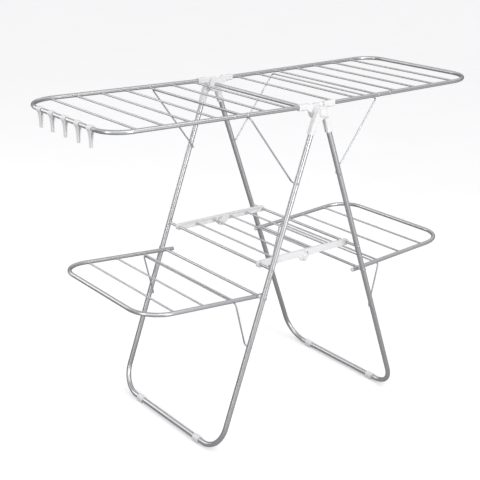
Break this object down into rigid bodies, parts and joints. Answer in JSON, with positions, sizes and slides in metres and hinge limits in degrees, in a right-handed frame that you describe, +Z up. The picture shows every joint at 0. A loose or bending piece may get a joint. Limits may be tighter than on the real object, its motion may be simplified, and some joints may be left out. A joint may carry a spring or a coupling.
{
  "type": "clothes drying rack",
  "caption": "Folding free-standing clothes airer with gull wings, lower side racks, a middle shelf and clips for socks.",
  "frame": {"origin": "on the floor under the middle of the rack, below the hub pivot", "axes": "+X along the wings, to the side without clips; +Y along the rails, to the back; +Z up"},
  "size_m": [1.3002, 0.5356, 0.9675],
  "materials": {
    "steel": "silver-grey metallic coating, satin gloss",
    "zinc": "bright zinc plating",
    "plastic": "moulded white plastic, satin",
    "clip_plastic": "moulded white plastic, semi-gloss"
  },
  "bodies": {
    "hub": {"hub_axle_tube": "steel", "front_hub_bolt": "plastic", "back_hub_bolt": "plastic"},
    "left_leg": {"left_leg_frame": "steel", "left_front_leg_socket": "plastic", "left_back_leg_socket": "plastic", "left_socket_screws": "zinc", "left_front_foot": "plastic", "left_back_foot": "plastic", "left_shelf_rivets": "zinc", "left_lower_axle": "steel", "left_axle_spacers": "plastic"},
    "right_leg": {"right_leg_frame": "steel", "right_front_leg_socket": "plastic", "right_back_leg_socket": "plastic", "right_socket_screws": "zinc", "right_front_foot": "plastic", "right_back_foot": "plastic", "right_shelf_rivets": "zinc", "right_lower_axle": "steel", "right_axle_spacers": "plastic"},
    "left_upper_wing": {"left_upper_tube": "steel", "left_upper_rails": "steel", "left_front_wing_arm": "plastic", "left_back_wing_arm": "plastic", "left_notch_bands": "zinc"},
    "left_upper_strut": {"left_upper_strut": "steel"},
    "left_lower_wing": {"left_lower_tube": "steel", "left_lower_rails": "steel", "left_lower_plugs": "plastic"},
    "left_lower_strut": {"left_lower_strut": "steel"},
    "right_upper_wing": {"right_upper_tube": "steel", "right_upper_rails": "steel", "right_front_wing_arm": "plastic", "right_back_wing_arm": "plastic", "right_notch_bands": "zinc"},
    "right_upper_strut": {"right_upper_strut": "steel"},
    "right_lower_wing": {"right_lower_tube": "steel", "right_lower_rails": "steel", "right_lower_plugs": "plastic"},
    "right_lower_strut": {"right_lower_strut": "steel"},
    "left_shelf": {"left_front_shelf_bar": "plastic", "left_back_shelf_bar": "plastic", "left_shelf_rods": "steel", "front_shelf_knob": "plastic", "back_shelf_knob": "plastic"},
    "right_shelf": {"right_front_shelf_bar": "plastic", "right_back_shelf_bar": "plastic", "right_shelf_rods": "steel"},
    "sock_clip_1": {"sock_clip_1": "clip_plastic"},
    "sock_clip_2": {"sock_clip_2": "clip_plastic"},
    "sock_clip_3": {"sock_clip_3": "clip_plastic"},
    "sock_clip_4": {"sock_clip_4": "clip_plastic"},
    "sock_clip_5": {"sock_clip_5": "clip_plastic"}
  },
  "joints": [
    {"name": "left_leg_fold", "type": "hinge", "parent": "hub", "child": "left_leg", "pos_m": [0, 0, 0.936], "axis": [0, -1, 0], "range_deg": [0, 17.5]},
    {"name": "right_leg_fold", "type": "hinge", "parent": "hub", "child": "right_leg", "pos_m": [0, 0, 0.936], "axis": [0, 1, 0], "range_deg": [0, 17.5]},
    {"name": "left_upper_wing_fold", "type": "hinge", "parent": "left_leg", "child": "left_upper_wing", "pos_m": [0, 0, 0.936], "axis": [0, -1, 0], "range_deg": [0, 67.3]},
    {"name": "left_upper_strut_fold", "type": "hinge", "parent": "left_leg", "child": "left_upper_strut", "pos_m": [-0.07936, 0, 0.74979], "axis": [0, -1, 0], "range_deg": [0, 120]},
    {"name": "left_lower_wing_fold", "type": "hinge", "parent": "left_leg", "child": "left_lower_wing", "pos_m": [-0.18781, 0, 0.44183], "axis": [0, -1, 0], "range_deg": [0, 69]},
    {"name": "left_lower_strut_fold", "type": "hinge", "parent": "left_leg", "child": "left_lower_strut", "pos_m": [-0.23498, 0, 0.30789], "axis": [0, -1, 0], "range_deg": [0, 141.5]},
    {"name": "right_upper_wing_fold", "type": "hinge", "parent": "right_leg", "child": "right_upper_wing", "pos_m": [0, 0, 0.936], "axis": [0, 1, 0], "range_deg": [0, 67.3]},
    {"name": "right_upper_strut_fold", "type": "hinge", "parent": "right_leg", "child": "right_upper_strut", "pos_m": [0.07936, 0, 0.74979], "axis": [0, 1, 0], "range_deg": [0, 120]},
    {"name": "right_lower_wing_fold", "type": "hinge", "parent": "right_leg", "child": "right_lower_wing", "pos_m": [0.18781, 0, 0.44183], "axis": [0, 1, 0], "range_deg": [0, 69]},
    {"name": "right_lower_strut_fold", "type": "hinge", "parent": "right_leg", "child": "right_lower_strut", "pos_m": [0.23498, 0, 0.30789], "axis": [0, 1, 0], "range_deg": [0, 141.5]},
    {"name": "left_shelf_fold", "type": "hinge", "parent": "left_leg", "child": "left_shelf", "pos_m": [-0.16041, 0, 0.51964], "axis": [0, -1, 0], "range_deg": [0, 67.1]},
    {"name": "right_shelf_fold", "type": "hinge", "parent": "left_shelf", "child": "right_shelf", "pos_m": [0, 0, 0.50714], "axis": [0, 1, 0], "range_deg": [0, 169.1]},
    {"name": "sock_clip_1_swing", "type": "hinge", "parent": "left_upper_wing", "child": "sock_clip_1", "pos_m": [-0.64277, 0, 0.95885], "axis": [0, 1, 0], "range_deg": [-40, 40]},
    {"name": "sock_clip_2_swing", "type": "hinge", "parent": "left_upper_wing", "child": "sock_clip_2", "pos_m": [-0.64277, 0, 0.95885], "axis": [0, 1, 0], "range_deg": [-40, 40]},
    {"name": "sock_clip_3_swing", "type": "hinge", "parent": "left_upper_wing", "child": "sock_clip_3", "pos_m": [-0.64277, 0, 0.95885], "axis": [0, 1, 0], "range_deg": [-40, 40]},
    {"name": "sock_clip_4_swing", "type": "hinge", "parent": "left_upper_wing", "child": "sock_clip_4", "pos_m": [-0.64277, 0, 0.95885], "axis": [0, 1, 0], "range_deg": [-40, 40]},
    {"name": "sock_clip_5_swing", "type": "hinge", "parent": "left_upper_wing", "child": "sock_clip_5", "pos_m": [-0.64277, 0, 0.95885], "axis": [0, 1, 0], "range_deg": [-40, 40]}
  ],
  "couplings": [
    {"joint": "right_leg_fold", "follows": "left_leg_fold", "ratio": 1},
    {"joint": "left_upper_strut_fold", "follows": "left_upper_wing_fold", "ratio": 1.77},
    {"joint": "left_lower_wing_fold", "follows": "left_upper_wing_fold", "ratio": 1.02},
    {"joint": "left_lower_strut_fold", "follows": "left_upper_wing_fold", "ratio": 2.091},
    {"joint": "right_upper_strut_fold", "follows": "right_upper_wing_fold", "ratio": 1.77},
    {"joint": "right_lower_wing_fold", "follows": "right_upper_wing_fold", "ratio": 1.02},
    {"joint": "right_lower_strut_fold", "follows": "right_upper_wing_fold", "ratio": 2.091},
    {"joint": "left_shelf_fold", "follows": "left_leg_fold", "ratio": 3.829},
    {"joint": "right_shelf_fold", "follows": "left_leg_fold", "ratio": 9.658}
  ]
}
